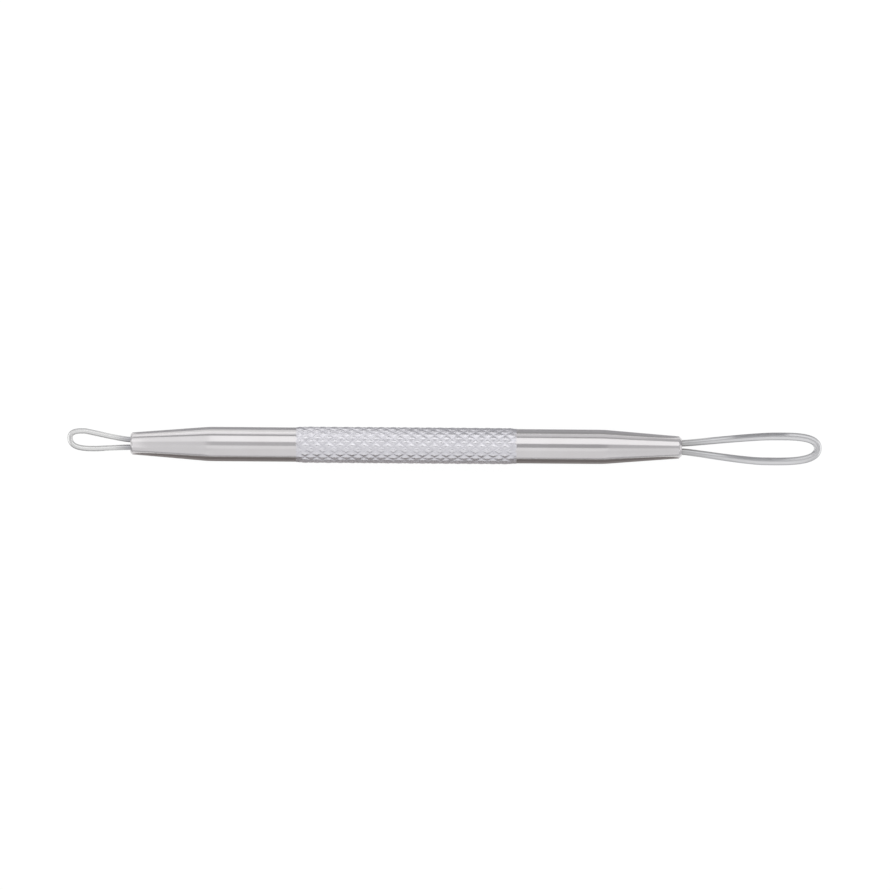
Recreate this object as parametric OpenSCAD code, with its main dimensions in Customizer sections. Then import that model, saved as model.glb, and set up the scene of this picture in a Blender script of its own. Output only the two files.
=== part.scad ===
// Double-ended blackhead extractor: a knurled steel bar with a wire loop fixed in each end.
// It lies flat along X with both loops in the horizontal plane, and its grip touches the table at Z = 0.
// The origin is under the middle of the whole tool.

/* [Bar] */
// Length of the bar between its two end faces
bar_len = 88.1; // [80:0.1:110]
// Diameter of the two plain bands beside the grip
band_d = 5.5; // [5:0.05:8]
// Length of each tapered nose
nose_len = 12.5; // [8:0.1:16]
// Diameter of each nose at its end, before the chamfer
nose_d = 3.55; // [3.4:0.05:4.5]
// Radius that blends each band into its nose
blend_r = 26; // [5:1:60]
// Chamfer on the small loop's end face
small_chamfer = 0.28; // [0.1:0.01:0.5]
// Chamfer on the large loop's end face
large_chamfer = 0.45; // [0.1:0.01:0.5]

/* [Grip] */
// Length of the knurled grip
grip_len = 35.2; // [20:0.1:45]
// Diameter over the flat tops of the diamonds
grip_d = 5.82; // [5.6:0.02:8.2]
// Depth of the knurl's grooves
groove_depth = 0.31; // [0.1:0.01:0.4]
// Diamonds in one ring round the bar
diamonds_round = 13; // [9:1:18]
// Length of one diamond along the bar
diamond_len = 1.876; // [1.4:0.001:3]
// Share of each diamond that is its flat top
top_share = 0.58; // [0.3:0.01:0.8]
// Turn of the knurl round the bar, in degrees
grip_turn = 3; // [0:0.5:14]
// How far each plain band runs on under the last diamonds
band_run_on = 0.2; // [0.1:0.01:0.4]

/* [Small loop] */
// Diameter of the small loop's wire
small_wire_d = 0.88; // [0.6:0.01:1]
// Spacing of its two legs, centre to centre
small_legs = 1.22; // [1.05:0.01:1.4]
// Reach from the end face to the wire's centre at the tip
small_reach = 9.67; // [8:0.01:14]
// Sideways shift of the tip from the bar's axis
small_tip_shift = 0.85; // [0:0.01:1]
// Widest point of the far side, from the bar's axis
small_far_bow = 1.93; // [1.5:0.01:2.5]
// Widest point of the far side, back from the tip
small_far_back = 2.31; // [1.5:0.01:4]
// Widest point of the near side, from the bar's axis
small_near_bow = 0.87; // [0.7:0.01:2]
// Widest point of the near side, back from the tip
small_near_back = 4.06; // [2:0.01:6]
// Depth that the legs reach into the bar
small_leg_depth = 6; // [4:0.1:9]

/* [Large loop] */
// Diameter of the large loop's wire where it enters the bar
large_wire_d = 1.05; // [0.8:0.01:1.1]
// Width of the pressed wire at the loop's head
large_head_w = 1.24; // [1.1:0.01:1.5]
// Thickness of the pressed wire at the loop's head
large_head_t = 0.78; // [0.6:0.01:1.05]
// Spacing of its two legs, centre to centre
large_legs = 1.34; // [1.2:0.01:1.4]
// Reach from the end face to the wire's centre at the tip
large_reach = 21.71; // [16:0.01:30]
// Sideways shift of the tip from the bar's axis
large_tip_shift = 0.02; // [0:0.01:1]
// Widest point of the far side, from the bar's axis
large_far_bow = 1.87; // [1.5:0.01:3]
// Widest point of the far side, back from the tip
large_far_back = 6.84; // [4:0.01:10]
// Widest point of the near side, from the bar's axis
large_near_bow = 2.11; // [1.5:0.01:3]
// Widest point of the near side, back from the tip
large_near_back = 8.44; // [4:0.01:12]
// Depth that the legs reach into the bar
large_leg_depth = 8; // [5:0.1:12]

/* [Brazed sockets] */
// Gap round the legs that the brazing metal fills
braze_gap = 0.03; // [0.01:0.005:0.05]
// Depth of plain socket past the ends of the legs
socket_spare = 0.5; // [0.2:0.1:2]
// Point angle of the drill that made the sockets
drill_angle = 118; // [90:1:140]

/* [Hidden] */

// Curve shares of each loop's side: start at the bar, run into the widest point, run out of it, tip
small_shares = [0.2, 0.06, 0.41, 1.03];
large_shares = [0.1, 0.26, 0.375, 1.11];
// Share of the large loop's reach over which its wire goes from round to pressed
press_start = 0.05;
press_end = 0.6;

// Steps and sides of the swept wires
curve_steps = 16;
wire_sides = 20;
// Steps of the blend between band and nose
blend_steps = 8;
round_fn = 96;

band_r = band_d / 2;
nose_r = nose_d / 2;
top_r = grip_d / 2;
root_r = top_r - groove_depth;

nose_angle = atan((band_r - nose_r) / nose_len);
band_len = (bar_len - grip_len) / 2 - nose_len;
blend_reach = min(blend_r * tan(nose_angle / 2), 0.4 * nose_len, 0.8 * band_len);
blend_fit = blend_reach / tan(nose_angle / 2);

small_socket_d = small_legs + small_wire_d + 2 * braze_gap;
large_socket_d = large_legs + large_wire_d + 2 * braze_gap;
small_socket_depth = small_leg_depth + socket_spare;
large_socket_depth = large_leg_depth + socket_spare;

// Rings of diamonds come in pairs, so that both ends of the grip are cut alike
rings = 2 * round(grip_len / diamond_len);
ring_pitch = grip_len / rings;
half_step = 180 / diamonds_round;

// The bar's middle, so that the whole tool is centred on the origin
bar_x = (small_reach + small_wire_d / 2 - large_reach - large_head_w / 2) / 2;
bar_z = top_r;

// Cubic curve through its four control points, and its direction
function bez(p, t) =
    pow(1 - t, 3) * p[0] + 3 * pow(1 - t, 2) * t * p[1] + 3 * (1 - t) * t * t * p[2] + pow(t, 3) * p[3];
function bez_dir(p, t) =
    pow(1 - t, 2) * (p[1] - p[0]) + 2 * (1 - t) * t * (p[2] - p[1]) + t * t * (p[3] - p[2]);
function unit(v) = v / norm(v);

// One side of a loop, from the end face to the tip: two curves that meet at its widest point
function side_curves(legs, bow, back, reach, tip_y, shares) =
    let (wide_x = reach - back)
    [
        [
            [0, legs],
            [shares[0] * wide_x, legs],
            [wide_x - shares[1] * wide_x, bow],
            [wide_x, bow],
        ],
        [
            [wide_x, bow],
            [wide_x + shares[2] * back, bow],
            [reach, tip_y + shares[3] * (bow - tip_y)],
            [reach, tip_y],
        ],
    ];

// Places and directions along one side, each as [place, direction]
function side_path(curves) = [
    for (curve = curves, i = [1 : curve_steps])
        let (t = i / curve_steps) [bez(curve, t), unit(bez_dir(curve, t))]
];

function turned_back(path) = [for (i = [len(path) - 2 : -1 : 0]) [path[i][0], -path[i][1]]];

// The whole wire: along one leg in its socket, out round the loop and back in along the other leg
function loop_path(legs, depth, far, near) = concat(
    [[[-depth, legs / 2], [1, 0]], [[0, legs / 2], [1, 0]]],
    side_path(far),
    turned_back(side_path(near)),
    [[[0, -legs / 2], [-1, 0]], [[-depth, -legs / 2], [-1, 0]]]
);

// Outline of a wire: a circle where width and thickness agree, else two half circles with flats between
function wire_point(w, t, a) = [(w - t) / 2 * sign(cos(a)) + t / 2 * cos(a), t / 2 * sin(a)];

// A wire swept along a path, with its own width and thickness at each place
module swept_wire(path, widths, thicks) {
    rings_n = len(path);
    points = [
        for (i = [0 : rings_n - 1], k = [0 : wire_sides - 1])
            let (
                p = path[i][0],
                d = path[i][1],
                q = wire_point(widths[i], thicks[i], 360 * k / wire_sides)
            )
            [p[0] - d[1] * q[0], p[1] + d[0] * q[0], q[1]]
    ];
    skin = [
        for (i = [0 : rings_n - 2], k = [0 : wire_sides - 1])
            let (
                a = i * wire_sides + k,
                b = i * wire_sides + (k + 1) % wire_sides
            )
            each [[a, a + wire_sides, b], [b, a + wire_sides, b + wire_sides]]
    ];
    first = [for (k = [0 : wire_sides - 1]) k];
    last = [for (k = [wire_sides - 1 : -1 : 0]) (rings_n - 1) * wire_sides + k];
    polyhedron(points, concat(skin, [first, last]));
}

// How far the large loop's wire is pressed at a distance from the end face, from 0 to 1
function pressed(x) =
    let (s = min(max((x / large_reach - press_start) / (press_end - press_start), 0), 1))
    s * s * (3 - 2 * s);

// One end of the bar, from just under the grip to its end face, turned about X
module bar_end(chamfer) {
    start = grip_len / 2 - band_run_on;
    bend = [
        for (i = [0 : blend_steps])
            let (a = nose_angle * i / blend_steps)
            [band_r - blend_fit * (1 - cos(a)), grip_len / 2 + band_len - blend_reach + blend_fit * sin(a)]
    ];
    outline = concat(
        [[0, start], [band_r, start]],
        bend,
        [
            [nose_r + chamfer * tan(nose_angle), bar_len / 2 - chamfer],
            [nose_r - chamfer, bar_len / 2],
            [0, bar_len / 2],
        ]
    );
    rotate([0, 90, 0]) rotate_extrude($fn = round_fn) polygon(outline);
}

// A drilled hole that opens at X = 0 and runs towards -X, with a drill point at its bottom
module drilled(d, depth, past_face) {
    point = d / 2 / tan(drill_angle / 2);
    outline = [[0, -depth - point], [d / 2, -depth], [d / 2, past_face], [0, past_face]];
    rotate([0, 90, 0]) rotate_extrude($fn = round_fn) polygon(outline);
}

// The knurl: rings of flat-topped diamonds, staggered so that the grooves between them run as helices
module knurl() {
    n = diamonds_round;
    // A place on the knurl, by its ring, its half steps round the bar and its radius
    function place(ring, step, r) =
        let (a = step * half_step + grip_turn)
        [(ring - rings / 2) * ring_pitch, -r * sin(a), r * cos(a)];
    // Groove crossings, one circle of them for each ring
    crossings = [for (i = [0 : rings], k = [0 : n - 1]) place(i, 2 * k + 1 + i % 2, root_r)];
    // Flat tops, each by its corners: back, left, front, right; both end rings hold half diamonds
    tops = [
        for (i = [0 : rings], k = [0 : n - 1])
            let (step = 2 * k + 2 + i % 2)
            each [
                place(i - (i == 0 ? 0 : top_share), step, top_r),
                place(i, step - top_share, top_r),
                place(i + (i == rings ? 0 : top_share), step, top_r),
                place(i, step + top_share, top_r),
            ]
    ];
    function crossing(i, k) = i * n + k % n;
    function top(i, k, corner) = len(crossings) + 4 * (i * n + k) + corner;
    // The crossing straight behind or in front of diamond k of ring i
    function beside(i, k, way) = crossing(i + way, k + i % 2);
    function quad(a, b, c, d) = [[a, b, c], [a, c, d]];
    flats = [
        for (i = [0 : rings], k = [0 : n - 1])
            each quad(top(i, k, 0), top(i, k, 1), top(i, k, 2), top(i, k, 3))
    ];
    back_flanks = [
        for (i = [1 : rings], k = [0 : n - 1])
            each concat(
                quad(beside(i, k, -1), crossing(i, k), top(i, k, 1), top(i, k, 0)),
                quad(crossing(i, k + 1), beside(i, k, -1), top(i, k, 0), top(i, k, 3))
            )
    ];
    front_flanks = [
        for (i = [0 : rings - 1], k = [0 : n - 1])
            each concat(
                quad(crossing(i, k), beside(i, k, 1), top(i, k, 2), top(i, k, 1)),
                quad(beside(i, k, 1), crossing(i, k + 1), top(i, k, 3), top(i, k, 2))
            )
    ];
    back_rim = [for (k = [n - 1 : -1 : 0]) each [top(0, k, 3), top(0, k, 0), top(0, k, 1), crossing(0, k)]];
    front_rim = [
        for (k = [0 : n - 1])
            each [crossing(rings, k), top(rings, k, 1), top(rings, k, 2), top(rings, k, 3)]
    ];
    // Each flat end is a fan of triangles round its middle
    middles = [[-grip_len / 2, 0, 0], [grip_len / 2, 0, 0]];
    function fan(middle, rim) = [
        for (i = [0 : len(rim) - 1])
            [len(crossings) + len(tops) + middle, rim[i], rim[(i + 1) % len(rim)]]
    ];
    polyhedron(
        concat(crossings, tops, middles),
        concat(flats, back_flanks, front_flanks, fan(0, back_rim), fan(1, front_rim))
    );
}

// Puts a child that is built round the origin, facing +X, at one end of the bar
module at_small_end() translate([bar_x - bar_len / 2, 0, bar_z]) mirror([1, 0, 0]) children();
module at_large_end() translate([bar_x + bar_len / 2, 0, bar_z]) children();

// Bores that the brazing metal leaves for the two legs
module leg_bores(wire_d, spacing, depth) {
    for (side = [-1, 1])
        translate([-depth, side * spacing / 2, 0])
            rotate([0, 90, 0]) cylinder(d = wire_d, h = depth, $fn = round_fn);
}

module handle() {
    color("silver") difference() {
        translate([bar_x, 0, bar_z]) union() {
            bar_end(large_chamfer);
            mirror([1, 0, 0]) bar_end(small_chamfer);
            knurl();
        }
        at_small_end() drilled(small_socket_d, small_socket_depth, 1);
        at_large_end() drilled(large_socket_d, large_socket_depth, 1);
    }
}

module small_loop() {
    far = side_curves(small_legs / 2, small_far_bow, small_far_back, small_reach, small_tip_shift, small_shares);
    near = side_curves(-small_legs / 2, -small_near_bow, small_near_back, small_reach, small_tip_shift, small_shares);
    path = loop_path(small_legs, small_leg_depth, far, near);
    widths = [for (p = path) small_wire_d];
    color("gainsboro") at_small_end() swept_wire(path, widths, widths);
}

module large_loop() {
    far = side_curves(large_legs / 2, large_far_bow, large_far_back, large_reach, large_tip_shift, large_shares);
    near = side_curves(-large_legs / 2, -large_near_bow, large_near_back, large_reach, large_tip_shift, large_shares);
    path = loop_path(large_legs, large_leg_depth, far, near);
    widths = [for (p = path) large_wire_d + (large_head_w - large_wire_d) * pressed(p[0][0])];
    thicks = [for (p = path) large_wire_d + (large_head_t - large_wire_d) * pressed(p[0][0])];
    color("gainsboro") at_large_end() swept_wire(path, widths, thicks);
}

module small_braze() {
    color("goldenrod") at_small_end() difference() {
        drilled(small_socket_d, small_socket_depth, 0);
        leg_bores(small_wire_d, small_legs, small_leg_depth);
    }
}

module large_braze() {
    color("goldenrod") at_large_end() difference() {
        drilled(large_socket_d, large_socket_depth, 0);
        leg_bores(large_wire_d, large_legs, large_leg_depth);
    }
}

handle();
small_loop();
large_loop();
small_braze();
large_braze();
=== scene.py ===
# %% [markdown]
# # A double-ended blackhead extractor
# A slim steel bar with a knurled grip, a small wire loop at one end and a long one at the other.
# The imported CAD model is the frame: it fixes every size and place. Each steel piece is then
# modelled again here with a finer surface, on the same axis and between the same end faces.

# %% Load the frame
import math
import bpy
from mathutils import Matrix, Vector


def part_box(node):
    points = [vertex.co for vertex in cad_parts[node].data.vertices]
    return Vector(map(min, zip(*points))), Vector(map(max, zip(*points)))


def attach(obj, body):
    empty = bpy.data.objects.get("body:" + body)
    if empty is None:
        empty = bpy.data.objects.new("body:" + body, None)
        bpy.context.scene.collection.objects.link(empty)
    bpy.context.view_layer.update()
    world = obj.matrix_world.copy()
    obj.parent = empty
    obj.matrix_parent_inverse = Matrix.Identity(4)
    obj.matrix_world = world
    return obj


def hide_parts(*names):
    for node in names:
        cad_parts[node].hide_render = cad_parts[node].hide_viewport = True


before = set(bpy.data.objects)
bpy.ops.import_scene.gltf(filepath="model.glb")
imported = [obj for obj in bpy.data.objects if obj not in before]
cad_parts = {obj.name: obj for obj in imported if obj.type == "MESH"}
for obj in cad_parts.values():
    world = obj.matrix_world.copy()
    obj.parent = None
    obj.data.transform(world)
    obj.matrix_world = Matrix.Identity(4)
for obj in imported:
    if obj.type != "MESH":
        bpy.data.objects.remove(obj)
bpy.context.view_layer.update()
print("CAD nodes:", sorted(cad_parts))

# %% [markdown]
# ## Sizes
# All sizes are in millimetres and are turned to metres once, with MM. The bar's two end faces come
# from the CAD handle, and its axis is half a grip diameter above the table, because the grip is
# the widest part and is what the tool lies on. The core is the bar's radius under the knurl, and
# each band runs on a little way under it.

# %% Sizes of the bar and its axis
MM = 0.001
GRIP_R = 2.91
ROOT_R = 2.75
BAND_R = 2.75
NOSE_R = 1.775
NOSE_LEN = 12.5
GRIP_HALF = 17.6
BLEND_R = 26.0
CORE_R = 2.45
BAND_RUN_ON = 0.2

handle_low, handle_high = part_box("handle")
SMALL_FACE = handle_low.x / MM
LARGE_FACE = handle_high.x / MM
BAR_MID = (SMALL_FACE + LARGE_FACE) / 2
HALF_BAR = (LARGE_FACE - SMALL_FACE) / 2
AXIS_Z = GRIP_R
print(f"end faces at {SMALL_FACE:.2f} and {LARGE_FACE:.2f} mm, axis {AXIS_Z} mm above the table")

# %% [markdown]
# ## Working by hand, in code
# A piece starts as one point or one outline in edit mode and is extruded, spun and bevelled with
# the same operators as in the window. Everything is deselected first, because an operator acts on
# all that is selected, and the CAD nodes come in selected.

# %% Helpers for modelling
def start_fresh():
    """Leaves edit mode and deselects everything."""
    if bpy.context.object and bpy.context.object.mode != "OBJECT":
        bpy.ops.object.mode_set(mode="OBJECT")
    bpy.ops.object.select_all(action="DESELECT")


def settle(piece, body="root"):
    """Puts the piece's place into its mesh and makes it ride on the body."""
    start_fresh()
    piece.select_set(True)
    bpy.context.view_layer.objects.active = piece
    bpy.ops.object.transform_apply(location=True, rotation=True, scale=True)
    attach(piece, body)
    print(f"{piece.name}: {len(piece.data.polygons)} faces")


def apply_modifier(piece, kind, **settings):
    """Adds one modifier with its settings and applies it."""
    start_fresh()
    piece.select_set(True)
    bpy.context.view_layer.objects.active = piece
    modifier = piece.modifiers.new(kind.title(), kind)
    for name, value in settings.items():
        setattr(modifier, name, value)
    bpy.ops.object.modifier_apply(modifier=modifier.name)


def tidy_mesh(piece, gap=0.0005 * MM):
    """Merges doubles and turns all faces outwards."""
    start_fresh()
    bpy.context.view_layer.objects.active = piece
    piece.select_set(True)
    bpy.ops.object.mode_set(mode="EDIT")
    bpy.ops.mesh.select_all(action="SELECT")
    bpy.ops.mesh.remove_doubles(threshold=gap)
    bpy.ops.mesh.normals_make_consistent(inside=False)
    bpy.ops.object.mode_set(mode="OBJECT")


def select_where(piece, test):
    """In edit mode, selects only the vertices whose place, in millimetres, passes the test."""
    start_fresh()
    bpy.context.view_layer.objects.active = piece
    piece.select_set(True)
    bpy.ops.object.mode_set(mode="EDIT")
    bpy.ops.mesh.select_mode(type="VERT")
    bpy.ops.mesh.select_all(action="DESELECT")
    bpy.ops.object.mode_set(mode="OBJECT")
    for vertex in piece.data.vertices:
        vertex.select = test(vertex.co / MM)
    bpy.ops.object.mode_set(mode="EDIT")


def smooth(piece, degrees):
    """Shades smoothly across edges that turn by less than this angle."""
    start_fresh()
    piece.select_set(True)
    bpy.context.view_layer.objects.active = piece
    bpy.ops.object.shade_smooth_by_angle(angle=math.radians(degrees))


# %% [markdown]
# ## Turning on a lathe
# The bar was turned from round stock. In Blender the same thing is a spin: an outline of points
# at (distance along the bar, radius) goes round the X axis. One point is made by collapsing a
# small plane, and each further point is extruded from it, so the outline is drawn as by hand.

# %% Turn an outline round the bar's axis
def turned(name, outline, steps=160):
    """A closed solid turned from an outline that starts and ends on the axis."""
    start_fresh()
    bpy.ops.mesh.primitive_plane_add(size=MM, enter_editmode=True, location=(0, 0, AXIS_Z * MM))
    piece = bpy.context.object
    piece.name = name
    bpy.ops.mesh.merge(type="CENTER")
    x, r = outline[0]
    bpy.ops.transform.translate(value=(x * MM, 0, r * MM))
    for next_x, next_r in outline[1:]:
        step = ((next_x - x) * MM, 0, (next_r - r) * MM)
        bpy.ops.mesh.extrude_vertices_move(TRANSFORM_OT_translate={"value": step})
        x, r = next_x, next_r
    bpy.ops.mesh.select_all(action="SELECT")
    bpy.ops.mesh.spin(
        steps=steps, angle=2 * math.pi, center=(0, 0, AXIS_Z * MM), axis=(1, 0, 0)
    )
    bpy.ops.object.mode_set(mode="OBJECT")
    tidy_mesh(piece)
    return piece


# %% [markdown]
# ## The bar
# One outline gives the whole bar: the drilled socket, the end face, its chamfer, the tapered nose,
# the short blend into the plain band, and the core under the knurl. The chamfer's two edges are
# eased by a hair, as a deburring tool leaves them, so that they catch a thin line of light.

# %% Outline of one end
SMALL_SOCKET = {"radius": 1.08, "depth": 6.5, "chamfer": 0.28}
LARGE_SOCKET = {"radius": 1.225, "depth": 8.5, "chamfer": 0.45}
DRILL_ANGLE = math.radians(118)
EASE = 0.05
MOUTH_EASE = 0.03


def arc(centre_x, centre_r, radius, start, end, steps):
    """Points along an arc of the outline, with angles from straight up, towards the end face."""
    angles = [start + (end - start) * i / steps for i in range(steps + 1)]
    return [(centre_x + radius * math.sin(a), centre_r + radius * math.cos(a)) for a in angles]


def eased_corner(before, corner, after, ease=EASE):
    """Two points in place of one sharp corner, a little way along each of its sides."""
    out = []
    for other in (before, after):
        dx, dr = other[0] - corner[0], other[1] - corner[1]
        share = ease / math.hypot(dx, dr)
        out.append((corner[0] + dx * share, corner[1] + dr * share))
    return out


def end_outline(socket):
    """From the grip to the bottom of the socket, as (distance from the bar's middle, radius)."""
    slope = math.atan((BAND_R - NOSE_R) / NOSE_LEN)
    nose_start = HALF_BAR - NOSE_LEN
    reach = BLEND_R * math.tan(slope / 2)
    blend = arc(nose_start - reach, BAND_R - BLEND_R, BLEND_R, 0, slope, 6)
    chamfer = socket["chamfer"]
    shoulder = (HALF_BAR - chamfer, NOSE_R + chamfer * math.tan(slope))
    rim = (HALF_BAR, NOSE_R - chamfer)
    mouth = (HALF_BAR, socket["radius"])
    mouth_inside = (HALF_BAR - socket["depth"], socket["radius"])
    point_x = mouth_inside[0] - socket["radius"] / math.tan(DRILL_ANGLE / 2)
    return (
        [(GRIP_HALF - BAND_RUN_ON, CORE_R), (GRIP_HALF - BAND_RUN_ON, BAND_R)]
        + blend
        + eased_corner(blend[-1], shoulder, rim)
        + eased_corner(shoulder, rim, mouth)
        + eased_corner(rim, mouth, mouth_inside, MOUTH_EASE)
        + [mouth_inside, (point_x, 0.0)]
    )


# %% Spin the bar
small_end = [(BAR_MID - x, r) for x, r in end_outline(SMALL_SOCKET)]
large_end = [(BAR_MID + x, r) for x, r in end_outline(LARGE_SOCKET)]
bar = turned("turned_bar", small_end[::-1] + large_end)
smooth(bar, 20)
settle(bar)
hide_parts("handle")

# %% [markdown]
# ## The knurl
# A pair of straight knurling wheels set at an angle cut two families of helical grooves, which
# leave thirteen low diamonds round the bar. It could be cut from the bar with hundreds of
# cutters, but it is far lighter to model one diamond flat, as if the grip were unrolled, repeat it
# with two Array modifiers, and roll the strip up with a Simple Deform bend.
# In the strip X runs along the bar, Z runs round it and -Y is outwards. Each diamond rises in two
# steps, the steeper side of the groove and a gentler crown, to a small flat top with eased edges.

# %% Sizes of one diamond
DIAMONDS_ROUND = 13
DIAMOND_LEN = 1.876
KNURL_PHASE = 0.743
KNURL_TURN = math.radians(3.05)
GROOVE_SIDE = 0.20
GROOVE_RISE = 0.10
CROWN_SIDE = 0.18
CROWN_RISE = GRIP_R - ROOT_R - GROOVE_RISE
TOP_EDGE = 0.05
RUN_OUT = 1.0
UNEVEN = 0.024
SEAM_GAP = 0.002

half_len = DIAMOND_LEN / 2
half_round = math.pi * ROOT_R / DIAMONDS_ROUND
side_from_centre = half_len * half_round / math.hypot(half_len, half_round)
flat_share = 1 - (GROOVE_SIDE + CROWN_SIDE) / side_from_centre
print(f"a diamond is {2 * half_len:.3f} mm long and {2 * half_round:.3f} mm wide at its foot")
print(f"its flat top is {flat_share:.2f} of that")

# %% One diamond: a rhombus, inset and raised twice, and bevelled
start_fresh()
bpy.ops.mesh.primitive_circle_add(
    vertices=4, radius=MM, fill_type="NGON", location=(0, 0, 0), rotation=(math.pi / 2, 0, 0)
)
knurl = bpy.context.object
knurl.name = "knurled_grip"
bpy.ops.object.transform_apply(location=True, rotation=True, scale=True)
bpy.ops.object.mode_set(mode="EDIT")
bpy.ops.mesh.select_all(action="SELECT")
bpy.ops.transform.resize(value=(half_len, 1, half_round))
for side, rise in ((GROOVE_SIDE, GROOVE_RISE), (CROWN_SIDE, CROWN_RISE)):
    bpy.ops.mesh.inset(thickness=side * MM, depth=0)
    bpy.ops.transform.translate(value=(0, -rise * MM, 0))
bpy.ops.mesh.bevel(offset=TOP_EDGE * MM, segments=1, affect="EDGES")
bpy.ops.mesh.select_all(action="SELECT")
bpy.ops.mesh.subdivide(number_cuts=1, quadcorner="INNERVERT")
bpy.ops.mesh.duplicate_move(TRANSFORM_OT_translate={"value": (half_len * MM, 0, half_round * MM)})
bpy.ops.object.mode_set(mode="OBJECT")
print("a pair of diamonds has", len(knurl.data.polygons), "faces")

# %% Repeat it along and round the grip
spare = math.ceil((GRIP_HALF + KNURL_PHASE) / DIAMOND_LEN + 1)
first_x = BAR_MID + KNURL_PHASE - DIAMOND_LEN * spare
count = math.ceil((BAR_MID + GRIP_HALF - first_x) / DIAMOND_LEN) + 1
apply_modifier(
    knurl, "ARRAY", count=count, use_relative_offset=False, use_constant_offset=True,
    constant_offset_displace=(DIAMOND_LEN * MM, 0, 0),
)
apply_modifier(
    knurl, "ARRAY", count=DIAMONDS_ROUND, use_relative_offset=False, use_constant_offset=True,
    constant_offset_displace=(0, 0, 2 * half_round * MM),
)
tidy_mesh(knurl)

# %% [markdown]
# The wheels run out at both ends of the grip, so the last millimetre of diamonds is pressed lower
# in two steps before the strip is rolled. Rolled, every corner is moved by up to 0.024 mm at
# random, as no wheel presses two diamonds quite alike. Then all corners are smoothed once, which
# rounds the diamonds off, and the grip is scaled back to its radius.

# %% Cut the strip to the grip's length, then roll it up
quarter_turn = ROOT_R * (math.pi / 2 - KNURL_TURN)
start_fresh()
knurl.select_set(True)
bpy.context.view_layer.objects.active = knurl
bpy.ops.object.mode_set(mode="EDIT")
bpy.ops.mesh.select_all(action="SELECT")
bpy.ops.transform.translate(value=(first_x * MM, 0, quarter_turn * MM))
for cut_x, outwards in ((BAR_MID - GRIP_HALF, -1), (BAR_MID + GRIP_HALF, 1)):
    bpy.ops.mesh.select_all(action="SELECT")
    bpy.ops.mesh.bisect(
        plane_co=(cut_x * MM, 0, 0), plane_no=(outwards, 0, 0), clear_outer=True, threshold=1e-8
    )
for run_out, share in ((RUN_OUT, 0.7), (RUN_OUT / 2, 0.6)):
    select_where(knurl, lambda place: GRIP_HALF - abs(place.x - BAR_MID) < run_out)
    bpy.ops.transform.resize(value=(1, share, 1), center_override=(0, 0, 0))
bpy.ops.object.mode_set(mode="OBJECT")
rows = DIAMONDS_ROUND + 0.5
apply_modifier(
    knurl, "SIMPLE_DEFORM", deform_method="BEND", deform_axis="X",
    angle=2 * math.pi * rows / DIAMONDS_ROUND,
)
start_fresh()
knurl.location = (0, -ROOT_R * MM, AXIS_Z * MM)
tidy_mesh(knurl, SEAM_GAP * MM)
start_fresh()
knurl.select_set(True)
bpy.ops.object.transform_apply(location=True, rotation=True, scale=True)
select_where(knurl, lambda place: abs(place.x - BAR_MID) < GRIP_HALF - 0.01)
bpy.ops.transform.vertex_random(offset=UNEVEN * MM, uniform=0.0, normal=0.0, seed=7)
bpy.ops.mesh.select_all(action="SELECT")
bpy.ops.mesh.vertices_smooth(factor=0.5, repeat=1, xaxis=False)
bpy.ops.object.mode_set(mode="OBJECT")
widest = max(math.hypot(v.co.y, v.co.z - AXIS_Z * MM) for v in knurl.data.vertices)
back = GRIP_R * MM / widest
select_where(knurl, lambda place: True)
bpy.ops.transform.resize(value=(1, back, back), center_override=(0, 0, AXIS_Z * MM))
bpy.ops.object.mode_set(mode="OBJECT")
print(f"widest corner {widest / MM:.3f} mm before, scaled by {back:.4f}")

# %% Close both ends of the grip
start_fresh()
bpy.context.view_layer.objects.active = knurl
knurl.select_set(True)
bpy.ops.object.mode_set(mode="EDIT")
for end_x in (BAR_MID - GRIP_HALF, BAR_MID + GRIP_HALF):
    bpy.ops.mesh.select_all(action="DESELECT")
    bpy.ops.object.mode_set(mode="OBJECT")
    for edge in knurl.data.edges:
        ends = [knurl.data.vertices[i].co.x / MM for i in edge.vertices]
        edge.select = all(abs(x - end_x) < 0.0005 for x in ends)
    bpy.ops.object.mode_set(mode="EDIT")
    bpy.ops.mesh.select_mode(type="EDGE")
    bpy.ops.mesh.edge_face_add()
bpy.ops.mesh.select_all(action="SELECT")
bpy.ops.mesh.normals_make_consistent(inside=False)
bpy.ops.object.mode_set(mode="OBJECT")
smooth(knurl, 40)
settle(knurl)
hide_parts("handle")
radii = [math.hypot(v.co.y, v.co.z - AXIS_Z * MM) / MM for v in knurl.data.vertices]
print(f"knurl radius {min(radii):.3f} to {max(radii):.3f} mm")

# %% [markdown]
# ## The wire loops
# Each loop is one length of drawn wire bent like a long drop, with both legs side by side in the
# socket. A Bezier curve has just such a shape: a handle at the bar, one at the widest point and
# one at the tip of each side. The curve's bevel gives the round wire, and each point's radius
# makes the large loop's wire broader towards its head, where the real one is pressed.

# %% Draw one loop
def loop_side(legs, bow, back, reach, tip_y, shares):
    """The three bends of one side as (handle before, point, handle after), from the bar out.

    The side is widest, at bow, this far back from the tip. The shares set the handles' lengths.
    """
    wide = reach - back
    return [
        ((-1.0, legs), (0.0, legs), (shares[0] * wide, legs)),
        ((wide - shares[1] * wide, bow), (wide, bow), (wide + shares[2] * back, bow)),
        ((reach, tip_y + shares[3] * (bow - tip_y)), (reach, tip_y), None),
    ]


LEG_HANDLE = 0.5


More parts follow.
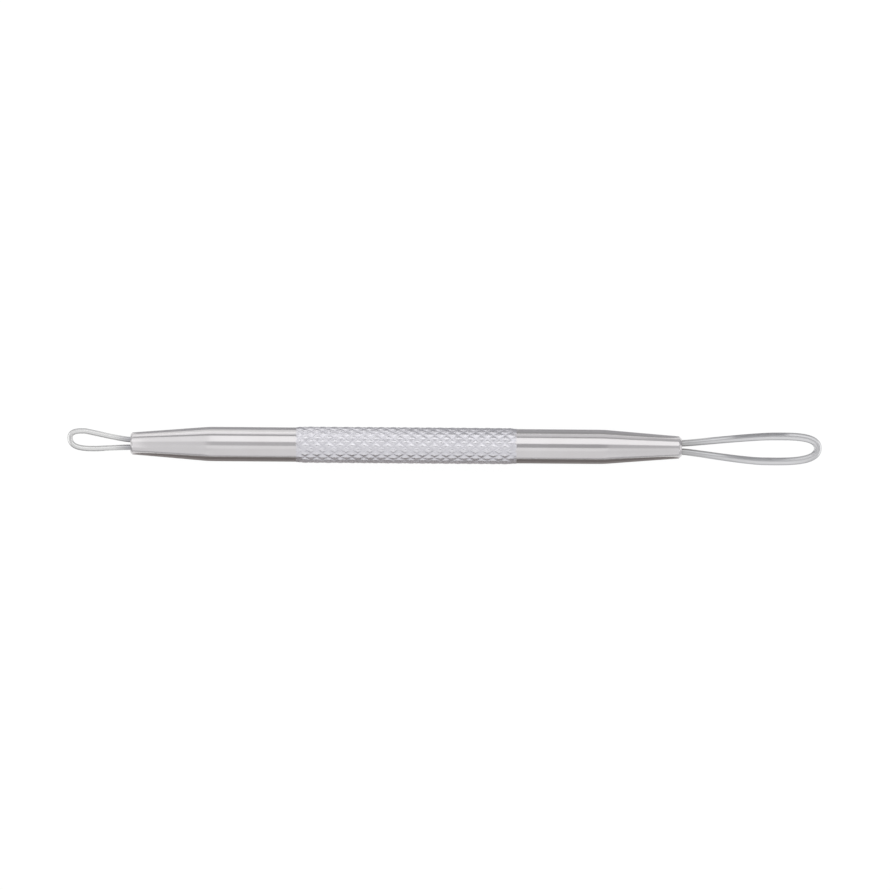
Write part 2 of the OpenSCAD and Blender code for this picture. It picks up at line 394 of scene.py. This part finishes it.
def bent_wire(name, far, near, legs, depth, face_x, way, wire_radius):
    """A closed wire along both sides; way is 1 towards +X and -1 towards -X."""
    deeper, out = -depth - LEG_HANDLE, -depth + LEG_HANDLE
    back = [(after, point, before) for before, point, after in near[:2][::-1]]
    tip = (far[2][0], far[2][1], near[2][0])
    leg_in = [((deeper, legs / 2), (-depth, legs / 2), (out, legs / 2))]
    leg_out = [((out, -legs / 2), (-depth, -legs / 2), (deeper, -legs / 2))]
    bends = leg_in + far[:2] + [tip] + back + leg_out
    start_fresh()
    bpy.ops.curve.primitive_bezier_curve_add(location=(0, 0, 0))
    piece = bpy.context.object
    piece.name = name
    wire = piece.data
    wire.dimensions = "3D"
    spline = wire.splines[0]
    spline.bezier_points.add(len(bends) - len(spline.bezier_points))
    for point, (before, place, after) in zip(spline.bezier_points, bends):
        point.handle_left_type = point.handle_right_type = "FREE"
        spots = [
            Vector(((face_x + way * x) * MM, y * MM, AXIS_Z * MM))
            for x, y in (before, place, after)
        ]
        point.handle_left, point.co, point.handle_right = spots
        point.radius = wire_radius(place[0])
    wire.resolution_u = 28
    wire.bevel_depth = MM
    wire.bevel_resolution = 7
    wire.use_fill_caps = True
    bpy.ops.object.convert(target="MESH")
    piece = bpy.context.object
    tidy_mesh(piece)
    return piece


# %% The small loop: plain round wire
SMALL_WIRE_R = 0.44
SMALL_REACH = 9.67
SMALL_LEGS = 1.22
small_tip = {"reach": SMALL_REACH, "tip_y": 0.85, "shares": (0.2, 0.06, 0.41, 1.03)}
small_loop = bent_wire(
    "small_wire_loop",
    loop_side(SMALL_LEGS / 2, bow=1.93, back=2.31, **small_tip),
    loop_side(-SMALL_LEGS / 2, bow=-0.87, back=4.06, **small_tip),
    legs=SMALL_LEGS, depth=6.0, face_x=SMALL_FACE, way=-1, wire_radius=lambda x: SMALL_WIRE_R,
)
smooth(small_loop, 40)
settle(small_loop)
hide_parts("small_loop")

# %% [markdown]
# The large loop is bent from the same kind of wire and then pressed between flat plates, so it
# grows broader and thinner towards its head. The head is scaled down in height about the wire's
# own middle, and proportional editing lets the press fade out towards the round neck.

# %% The large loop, and its pressed head
LARGE_REACH = 21.71
LARGE_LEGS = 1.34
NECK_WIRE_R = 0.525
HEAD_WIRE_R = 0.62
HEAD_HALF_THICK = 0.39
large_tip = {"reach": LARGE_REACH, "tip_y": 0.02, "shares": (0.1, 0.26, 0.375, 1.11)}


def broader(x):
    """How far the wire has spread at a distance from the end face, from 0 to 1."""
    share = min(max((x / LARGE_REACH - 0.05) / 0.55, 0.0), 1.0)
    return share * share * (3 - 2 * share)


large_loop = bent_wire(
    "large_wire_loop",
    loop_side(LARGE_LEGS / 2, bow=1.87, back=6.84, **large_tip),
    loop_side(-LARGE_LEGS / 2, bow=-2.11, back=8.44, **large_tip),
    legs=LARGE_LEGS, depth=8.0, face_x=LARGE_FACE, way=1,
    wire_radius=lambda x: NECK_WIRE_R + (HEAD_WIRE_R - NECK_WIRE_R) * broader(x),
)
select_where(large_loop, lambda place: place.x > LARGE_FACE + 0.6 * LARGE_REACH)
bpy.ops.transform.resize(
    value=(1, 1, HEAD_HALF_THICK / HEAD_WIRE_R), center_override=(0, 0, AXIS_Z * MM),
    use_proportional_edit=True, proportional_edit_falloff="SMOOTH",
    proportional_size=0.5 * LARGE_REACH * MM,
)
bpy.ops.object.mode_set(mode="OBJECT")
head = [v.co.z / MM for v in large_loop.data.vertices if v.co.x / MM > LARGE_FACE + 15]
print(f"the head is {max(head) - min(head):.3f} mm thick")
smooth(large_loop, 40)
settle(large_loop)
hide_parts("large_loop")

# %% [markdown]
# ## The brazed sockets
# Brazing metal holds the legs in each drilled socket. It draws up to the wire and sets with a
# slightly hollow face, so the plug is turned like the bar, a little below the end face.

# %% Turn the two plugs
PLUG_GAP = 0.002
PLUG_SHORTER = 0.1


def braze_plug(name, node, socket, face_x, way):
    """The metal that fills one socket round the legs."""
    radius, depth = socket["radius"] - PLUG_GAP, socket["depth"] - PLUG_SHORTER
    outline = [
        (-depth - radius / math.tan(DRILL_ANGLE / 2), 0.0), (-depth, radius),
        (-0.10, radius), (-0.04, radius - 0.05), (-0.06, radius * 0.8), (-0.09, radius * 0.5),
        (-0.10, radius * 0.25), (-0.10, 0.0),
    ]
    plug = turned(name, [(face_x + way * x, r) for x, r in outline], steps=64)
    smooth(plug, 50)
    settle(plug)
    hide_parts(node)
    return plug


small_plug = braze_plug("small_socket_braze", "small_braze", SMALL_SOCKET, SMALL_FACE, -1)
large_plug = braze_plug("large_socket_braze", "large_braze", LARGE_SOCKET, LARGE_FACE, 1)

# %% [markdown]
# ## Materials
# All that shows from above is stainless steel, and what tells its parts apart is how each surface
# was made: turned, rolled or drawn. So all three steels have nearly the same colour, and differ in
# their roughness and in the direction and pitch of their fine marks. One function turns a hex
# colour to linear, and one adds a node with its settings and links.

# %% Helpers for materials
def linear(hex_colour):
    """An sRGB hex colour as linear red, green, blue and alpha."""
    parts = [int(hex_colour[i:i + 2], 16) / 255 for i in (1, 3, 5)]
    red, green, blue = (
        c / 12.92 if c <= 0.04045 else ((c + 0.055) / 1.055) ** 2.4 for c in parts
    )
    return (red, green, blue, 1.0)


def add_node(tree, kind, links=None, values=None, **settings):
    """Adds one node. links maps a socket to another node's output, values maps it to a value."""
    node = tree.nodes.new(kind)
    for name, value in settings.items():
        setattr(node, name, value)
    for name, value in (values or {}).items():
        node.inputs[name].default_value = value
    for name, output in (links or {}).items():
        tree.links.new(output, node.inputs[name])
    return node


def new_metal(name):
    """A metal, its node tree, its shader, and object coordinates in millimetres from the axis."""
    material = bpy.data.materials.new(name)
    material.use_nodes = True
    tree = material.node_tree
    shader = tree.nodes["Principled BSDF"]
    shader.inputs["Metallic"].default_value = 1.0
    place = add_node(tree, "ShaderNodeTexCoord")
    in_mm = add_node(
        tree, "ShaderNodeMapping", {"Vector": place.outputs["Object"]},
        {"Location": (0, 0, -AXIS_Z), "Scale": (1 / MM, 1 / MM, 1 / MM)},
    )
    return material, tree, shader, in_mm.outputs["Vector"]


def marks(tree, coords, along, across, detail=3.0):
    """Noise whose marks are this long along the bar and this wide across it, in millimetres."""
    place = add_node(
        tree, "ShaderNodeMapping", {"Vector": coords},
        {"Scale": (1 / along, 1 / across, 1 / across)},
    )
    return add_node(
        tree, "ShaderNodeTexNoise", {"Vector": place.outputs["Vector"]},
        {"Scale": 1.0, "Detail": detail},
    ).outputs["Fac"]


# %% [markdown]
# ### Turned stainless steel
# A lathe tool leaves rings about 0.05 mm apart, which spread each reflection a little. They are
# drawn twice as coarse here, so that a close view still shows them: a noise that changes fast
# along the bar and slowly round it. Cloudy patches a few millimetres wide vary the tint.

# %% The bar's steel
RING_SPACING = 0.11
RING_ARC = 2.9
CLOUD_SIZE = 4.5

turned_steel, tree, shader, mm = new_metal("turned_stainless")
rings = marks(tree, mm, RING_SPACING, RING_ARC)
clouds = marks(tree, mm, CLOUD_SIZE, CLOUD_SIZE)
tint = add_node(tree, "ShaderNodeMix", {"Factor": clouds}, data_type="RGBA")
tint.inputs[6].default_value = linear("#CBC8C8")
tint.inputs[7].default_value = linear("#D3D1D2")
ring_rough = add_node(
    tree, "ShaderNodeMapRange", {"Value": rings}, {"To Min": 0.11, "To Max": 0.19}
)
ring_bump = add_node(
    tree, "ShaderNodeBump", {"Height": rings}, {"Strength": 0.15, "Distance": 0.01 * MM}
)
tree.links.new(tint.outputs[2], shader.inputs["Base Color"])
tree.links.new(ring_rough.outputs["Result"], shader.inputs["Roughness"])
tree.links.new(ring_bump.outputs["Normal"], shader.inputs["Normal"])
bar.data.materials.append(turned_steel)
print("bar:", turned_steel.name)

# %% [markdown]
# ### Knurled stainless steel
# The knurling wheels press and tear the metal, so the flanks are rougher than the tops, and both
# carry a grain of small pits. The pits are drawn coarser than real ones, which would vanish in
# the picture. The radius from the bar's axis tells a top from a groove, and the steel is painted
# a little darker down the grooves, as painted shade.

# %% The grip's steel
GRAIN_SIZE = 0.28
PATCH_SIZE = 2.0
GRAIN_DEPTH = 0.06

knurled_steel, tree, shader, mm = new_metal("knurled_stainless")
grain = marks(tree, mm, GRAIN_SIZE, GRAIN_SIZE, detail=4.0)
patches = marks(tree, mm, PATCH_SIZE, PATCH_SIZE, detail=2.0)
across = add_node(tree, "ShaderNodeVectorMath", {0: mm}, {1: (0, 1, 1)}, operation="MULTIPLY")
from_axis = add_node(tree, "ShaderNodeVectorMath", {0: across.outputs[0]}, operation="LENGTH")
height = add_node(
    tree, "ShaderNodeMapRange", {"Value": from_axis.outputs["Value"]},
    {"From Min": ROOT_R, "From Max": GRIP_R - 0.02},
)
# Painted shade: the steel's colour is a little darker towards the grooves' bottoms.
tint = add_node(tree, "ShaderNodeMix", {"Factor": height.outputs["Result"]}, data_type="RGBA")
tint.inputs[6].default_value = linear("#D5D4D9")
tint.inputs[7].default_value = linear("#DCDBDF")
flank_rough = add_node(
    tree, "ShaderNodeMapRange", {"Value": height.outputs["Result"]},
    {"To Min": 0.32, "To Max": 0.14},
)
rough = add_node(
    tree, "ShaderNodeMath", {0: grain, 2: flank_rough.outputs["Result"]}, {1: 0.10},
    operation="MULTIPLY_ADD",
)
heights = add_node(
    tree, "ShaderNodeMath", {0: patches, 2: grain}, {1: 2.0}, operation="MULTIPLY_ADD"
)
bump = add_node(
    tree, "ShaderNodeBump", {"Height": heights.outputs[0]},
    {"Strength": 0.6, "Distance": GRAIN_DEPTH * MM},
)
tree.links.new(tint.outputs[2], shader.inputs["Base Color"])
tree.links.new(rough.outputs[0], shader.inputs["Roughness"])
tree.links.new(bump.outputs["Normal"], shader.inputs["Normal"])
knurl.data.materials.append(knurled_steel)
print("grip:", knurled_steel.name)

# %% [markdown]
# ### Drawn stainless wire
# Wire is pulled through a die, which leaves a satin surface with fine lines along its length.
# They too are drawn broader than real ones. The steel is painted a little darker close to the bar,
# as painted shade where the wire meets it.

# %% The loops' steel
DIE_LINE_LEN = 1.4
DIE_LINE_WIDTH = 0.17


def wire_steel(name, darker, lighter, neck_shade_hex, neck_shade_reach, roughness):
    """Drawn wire, with a painted shade that darkens it for some millimetres from the bar's end
    face.
    """
    material, tree, shader, mm = new_metal(name)
    lines = marks(tree, mm, DIE_LINE_LEN, DIE_LINE_WIDTH)
    split = add_node(tree, "ShaderNodeSeparateXYZ", {"Vector": mm})
    from_mid = add_node(
        tree, "ShaderNodeMath", {0: split.outputs["X"]}, {1: BAR_MID}, operation="SUBTRACT"
    )
    from_mid = add_node(tree, "ShaderNodeMath", {0: from_mid.outputs[0]}, operation="ABSOLUTE")
    # Painted shade: how much darker the wire is painted near the bar's end face.
    neck_shade = add_node(
        tree, "ShaderNodeMapRange", {"Value": from_mid.outputs[0]},
        {
            "From Min": HALF_BAR + 0.2, "From Max": HALF_BAR + neck_shade_reach,
            "To Min": 1.0, "To Max": 0.0,
        },
    )
    steel = add_node(tree, "ShaderNodeMix", {"Factor": lines}, data_type="RGBA")
    steel.inputs[6].default_value = linear(darker)
    steel.inputs[7].default_value = linear(lighter)
    neck_shaded = add_node(
        tree, "ShaderNodeMix", {"Factor": neck_shade.outputs["Result"], 6: steel.outputs[2]},
        data_type="RGBA",
    )
    neck_shaded.inputs[7].default_value = linear(neck_shade_hex)
    rough = add_node(
        tree, "ShaderNodeMapRange", {"Value": lines},
        {"To Min": roughness - 0.01, "To Max": roughness + 0.01},
    )
    bump = add_node(
        tree, "ShaderNodeBump", {"Height": lines}, {"Strength": 0.02, "Distance": 0.01 * MM}
    )
    tree.links.new(neck_shaded.outputs[2], shader.inputs["Base Color"])
    tree.links.new(rough.outputs["Result"], shader.inputs["Roughness"])
    tree.links.new(bump.outputs["Normal"], shader.inputs["Normal"])
    return material


# The third colour is the painted shade near the bar, and the number after it is how far that shade
# reaches, in millimetres.
small_loop.data.materials.append(
    wire_steel("drawn_stainless_wire", "#CDCDCC", "#D0D0CF", "#A6A6A9", 2.6, 0.23)
)
large_loop.data.materials.append(
    wire_steel("pressed_stainless_wire", "#C3C3C4", "#C8C8C9", "#B4B4B4", 5.0, 0.33)
)
print("loops:", [m.name for loop in (small_loop, large_loop) for m in loop.data.materials])

# %% [markdown]
# ### Brazing metal
# A silver brazing alloy is a pale, warm grey and sets with a dull skin, pitted every quarter of
# a millimetre or so.

# %% The plugs' metal
PIT_SPACING = 0.25

silver_braze, tree, shader, mm = new_metal("silver_braze")
pits = marks(tree, mm, PIT_SPACING, PIT_SPACING, detail=4.0)
tint = add_node(tree, "ShaderNodeMix", {"Factor": pits}, data_type="RGBA")
tint.inputs[6].default_value = linear("#A79A80")
tint.inputs[7].default_value = linear("#CFC6AE")
rough = add_node(
    tree, "ShaderNodeMapRange", {"Value": pits}, {"To Min": 0.4, "To Max": 0.65}
)
bump = add_node(
    tree, "ShaderNodeBump", {"Height": pits}, {"Strength": 0.4, "Distance": 0.04 * MM}
)
tree.links.new(tint.outputs[2], shader.inputs["Base Color"])
tree.links.new(rough.outputs["Result"], shader.inputs["Roughness"])
tree.links.new(bump.outputs["Normal"], shader.inputs["Normal"])
for plug in (small_plug, large_plug):
    plug.data.materials.append(silver_braze)
print("plugs:", silver_braze.name)

# %% [markdown]
# ## The table
# The tool lies on a white sheet that fills the picture. The sheet gives off most of its white
# itself where the camera or a mirror-like surface sees it, and takes the rest from the lamps, so
# it renders white and still keeps a soft shadow under the tool.

# %% White sheet
start_fresh()
bpy.ops.mesh.primitive_plane_add(size=4.0, location=(0, 0, 0))
sheet = bpy.context.object
sheet.name = "white_sheet"
paper = bpy.data.materials.new("matt_white_paper")
paper.use_nodes = True
tree = paper.node_tree
shader = tree.nodes["Principled BSDF"]
shader.inputs["Base Color"].default_value = linear("#F4F4F4")
shader.inputs["Roughness"].default_value = 0.9
shader.inputs["Specular IOR Level"].default_value = 0.0
rays = add_node(tree, "ShaderNodeLightPath")
seen = add_node(
    tree, "ShaderNodeMath",
    {0: rays.outputs["Is Camera Ray"], 1: rays.outputs["Is Glossy Ray"]}, operation="MAXIMUM",
)
seen = add_node(
    tree, "ShaderNodeMath",
    {0: seen.outputs[0], 1: rays.outputs["Is Transmission Ray"]}, operation="MAXIMUM",
)
own_share = add_node(tree, "ShaderNodeMath", {0: seen.outputs[0]}, {1: 0.9}, operation="MULTIPLY")
own_white = add_node(tree, "ShaderNodeEmission", None, {"Color": (1, 1, 1, 1), "Strength": 1.04})
both = add_node(
    tree, "ShaderNodeMixShader",
    {0: own_share.outputs[0], 1: shader.outputs[0], 2: own_white.outputs[0]},
)
tree.links.new(both.outputs[0], tree.nodes["Material Output"].inputs["Surface"])
sheet.data.materials.append(paper)

# %% [markdown]
# ## Light
# Polished round bar shows its surroundings as stripes along its length. A point on it whose
# surface leans by some angle mirrors what stands at twice that angle from straight up, so
# each softbox is placed by that mirrored angle: minus is the far side, plus the near side.
# The gap between the two big boxes, where the camera looks down, draws the thin dark line
# along the middle of the bar. Area lamps don't hide each other or the room: where two are in
# line, their light adds up. The overhead boxes at both sides fill the gap again for the noses,
# low strips beyond the far side light the bar's far edge, and the small lamps hang close over
# the loops, so that they brighten the wire and hardly the bar.

# %% Softboxes, placed by the angle that they are mirrored at
def softbox(name, low_angle, high_angle, distance, glow, x=0.0, length=1.6):
    """A rectangular lamp between two angles. A glow of 1 is mirrored as the steel's colour."""
    middle = math.radians((low_angle + high_angle) / 2)
    width = 2 * distance * math.tan(math.radians(high_angle - low_angle) / 2)
    bpy.ops.object.light_add(
        type="AREA", rotation=(middle, 0, 0),
        location=(x, -distance * math.sin(middle), distance * math.cos(middle) + AXIS_Z * MM),
    )
    lamp = bpy.context.object
    lamp.name = name
    lamp.data.shape = "RECTANGLE"
    lamp.data.size = length
    lamp.data.size_y = width
    lamp.data.energy = glow * math.pi * length * width
    lamp.visible_camera = False
    print(f"{name}: {width:.2f} m wide, {lamp.data.energy:.2f} W")


ROOM = 0.7
softbox("far_softbox", -58, -17, ROOM, 0.84, x=0.30, length=0.8)
softbox("far_softbox_left", -58, -17, ROOM, 0.60, x=-0.45, length=0.7)
softbox("near_softbox_high", 9, 30, ROOM, 0.55, length=0.24)
softbox("near_softbox_low", 30, 83, ROOM, 0.44, length=0.24)
for side, way, overhead in (("left", -1, 0.40), ("right", 1, 0.22)):
    softbox(f"near_softbox_{side}", 9, 77, ROOM, 0.40, x=way * 0.47, length=0.7)
    softbox(f"overhead_{side}", -17, 9, ROOM, overhead, x=way * 0.48, length=0.7)
softbox("overhead_near_left", -17, 9, ROOM, 0.18, x=-0.075, length=0.11)
softbox("left_low_strip", -96, -71, 0.09, 0.69, x=-0.105, length=0.2)
softbox("right_low_strip", -92, -68, 0.09, 0.35, x=0.025, length=0.04)
softbox("right_far_strip", -92, -58, 0.09, 0.10, x=0.125, length=0.16)
softbox("small_loop_overhead", -40, 40, 0.025, 0.24, x=-0.0595, length=0.013)
softbox("large_loop_overhead", 2, 20, 0.03, 0.30, x=0.0555, length=0.019)
softbox("large_loop_near_strip", 20, 75, 0.03, 0.25, x=0.0555, length=0.019)

# %% Panels beyond each end, which the chamfers mirror
PANEL_HIGH, PANEL_WIDE, PANEL_GLOW = 0.24, 0.5, 1.2
for way in (-1, 1):
    bpy.ops.object.light_add(
        type="AREA", rotation=(0, way * math.pi / 2, 0), location=(way * 0.4, 0, 0.12)
    )
    end_panel = bpy.context.object
    end_panel.name = "right_end_panel" if way > 0 else "left_end_panel"
    end_panel.data.shape = "RECTANGLE"
    end_panel.data.size, end_panel.data.size_y = PANEL_HIGH, PANEL_WIDE
    end_panel.data.energy = PANEL_GLOW * math.pi * PANEL_HIGH * PANEL_WIDE
    end_panel.visible_camera = False

# %% The room's own light
world = bpy.data.worlds.new("studio")
bpy.context.scene.world = world
world.use_nodes = True
world.node_tree.nodes["Background"].inputs["Color"].default_value = linear("#C6C6C8")
world.node_tree.nodes["Background"].inputs["Strength"].default_value = 0.9

# %% [markdown]
# Grey cards lie beside the tool, as a photographer puts them to draw the edges of something
# bright on a white table, and one stands behind the large loop. The grip has a lighter card of its
# own, which lies over the others. Only reflections see the cards, and they cast no shadow: they
# are painted reflections of shade, which darken the steel's edges where it mirrors the table
# beside it.

# %% Grey cards
CARD_HEIGHT = 0.4


def grey_card(name, from_y, to_y, hex_colour, x, length, height=CARD_HEIGHT):
    """A card just above the table, between two distances from the bar's axis in millimetres, seen
    only in reflections as painted shade.
    """
    start_fresh()
    bpy.ops.mesh.primitive_plane_add(
        size=1.0, location=(x, (from_y + to_y) / 2 * MM, height * MM)
    )
    card = bpy.context.object
    card.name = name
    card.scale = (length, abs(to_y - from_y) * MM, 1)
    bpy.ops.object.transform_apply(location=True, scale=True)
    grey = bpy.data.materials.new(name)
    grey.use_nodes = True
    shader = grey.node_tree.nodes["Principled BSDF"]
    shader.inputs["Base Color"].default_value = linear(hex_colour)
    shader.inputs["Roughness"].default_value = 1.0
    card.data.materials.append(grey)
    card.visible_camera = False
    card.visible_diffuse = False
    card.visible_shadow = False
    return card


bar_mid, bar_length = BAR_MID * MM, 2 * HALF_BAR * MM
grey_card("near_dark_card", -8, -90, "#7E7875", x=bar_mid, length=bar_length)
grey_card("near_close_card", -3.5, -8, "#A09B98", x=bar_mid, length=bar_length)
grey_card(
    "near_grip_card", -1.0, -10.5, "#C8C4C2",
    x=bar_mid, length=2 * GRIP_HALF * MM, height=CARD_HEIGHT + 0.2,
)
grey_card("far_grey_card", 3.5, 11, "#BEBEC0", x=bar_mid, length=bar_length)
grey_card(
    "far_right_grey_card", 11, 90, "#B0B0B0", x=bar_mid + bar_length / 4, length=bar_length / 2
)
for side, face_x, way, near_hex, far_hex in (
    ("left", SMALL_FACE, -1, "#B8B8BA", "#D0D0D2"),
    ("right", LARGE_FACE, 1, "#DCDCDE", "#BCBCBE"),
):
    middle = (face_x + way * 16) * MM
    grey_card(f"near_{side}_loop_card", -2.6, -40, near_hex, x=middle, length=24 * MM)
    grey_card(f"far_{side}_loop_card", 2.6, 40, far_hex, x=middle, length=24 * MM)

# %% A card that stands behind the large loop's head
STAND_Y = 5
# It too is seen only in reflections, where it paints a darker far edge onto the loop's head.
far_shade = grey_card(
    "far_standing_card", STAND_Y, 30, "#CACACC", x=(LARGE_FACE + 12.5) * MM, length=9 * MM
)
start_fresh()
bpy.context.view_layer.objects.active = far_shade
far_shade.select_set(True)
bpy.ops.transform.rotate(
    value=math.radians(-98), orient_axis="X",
    center_override=(0, STAND_Y * MM, CARD_HEIGHT * MM),
)
bpy.ops.object.transform_apply(location=True, rotation=True, scale=True)
top = max(v.co.z for v in far_shade.data.vertices) / MM
print(f"top of the standing card: {top:.1f} mm")

# %% [markdown]
# ## Camera
# The photograph looks straight down from far away. The picture is 142 mm wide at the bar's axis,
# and the tool is turned in it by less than half a degree.

# %% Camera
PICTURE_WIDTH = 142.2
CAMERA_X, CAMERA_Y, CAMERA_HEIGHT = 0.08, 0.115, 1500.0
CAMERA_TURN = math.radians(0.425)
bpy.ops.object.camera_add(
    location=(CAMERA_X * MM, CAMERA_Y * MM, (CAMERA_HEIGHT + AXIS_Z) * MM),
    rotation=(0, 0, CAMERA_TURN),
)
camera = bpy.context.object
camera.name = "camera"
camera.data.lens = camera.data.sensor_width * CAMERA_HEIGHT / PICTURE_WIDTH
camera.data.clip_start = 0.05
camera.data.clip_end = 20.0
bpy.context.scene.camera = camera
bpy.context.scene.view_settings.view_transform = "Standard"

# %% Leave edit mode and deselect everything
start_fresh()
